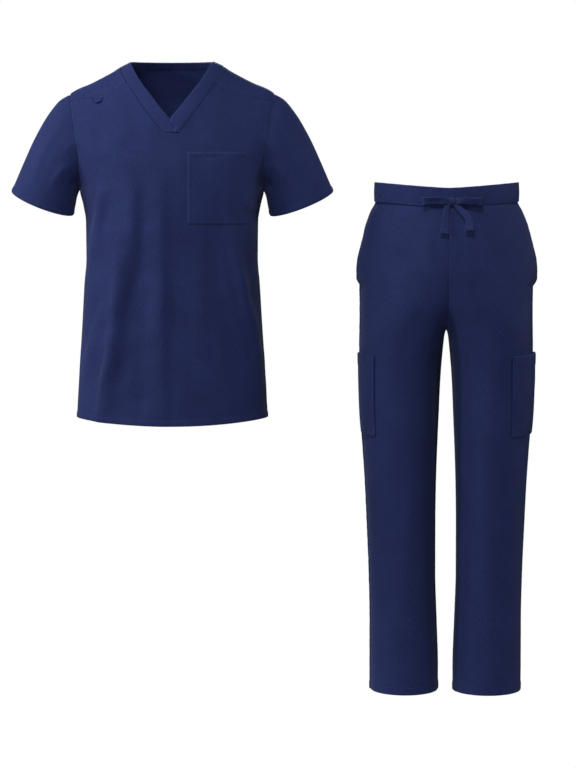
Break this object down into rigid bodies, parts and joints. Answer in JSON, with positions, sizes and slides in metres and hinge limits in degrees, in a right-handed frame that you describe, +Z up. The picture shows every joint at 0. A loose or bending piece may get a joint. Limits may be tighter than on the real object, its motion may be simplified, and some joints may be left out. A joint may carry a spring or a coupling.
{
  "type": "medical scrubs",
  "caption": "Short-sleeved V-neck tunic top beside drawstring cargo trousers, both filled out and hollow, with patch pockets.",
  "frame": {"origin": "between the top's shoulders, level with the back of its neck, midway from side to side and on the plane of the side seams", "axes": "+Z up, -Y the front of both garments, +X the wearer's left; the trousers stand beside the top at +X"},
  "size_m": [1.0721, 0.2608, 1.2922],
  "materials": {
    "scrub_cloth": "matt navy woven stretch poplin",
    "drawstring_tape": "matt navy flat self-fabric tape"
  },
  "bodies": {
    "root": {"top_front": "scrub_cloth", "top_back": "scrub_cloth", "sleeve_left": "scrub_cloth", "sleeve_right": "scrub_cloth", "neck_band_left": "scrub_cloth", "neck_band_right": "scrub_cloth", "neck_band_back": "scrub_cloth", "chest_pocket": "scrub_cloth", "hanging_loop": "scrub_cloth", "leg_front_left": "scrub_cloth", "leg_front_right": "scrub_cloth", "leg_back_left": "scrub_cloth", "leg_back_right": "scrub_cloth", "side_pocket_facing_left": "scrub_cloth", "side_pocket_facing_right": "scrub_cloth", "cargo_pocket_left": "scrub_cloth", "cargo_pocket_right": "scrub_cloth", "waistband_front": "scrub_cloth", "waistband_back": "scrub_cloth", "drawstring_loop_left": "drawstring_tape", "drawstring_loop_right": "drawstring_tape", "drawstring_tail_left": "drawstring_tape", "drawstring_tail_right": "drawstring_tape", "drawstring_knot": "drawstring_tape"}
  },
  "joints": []
}
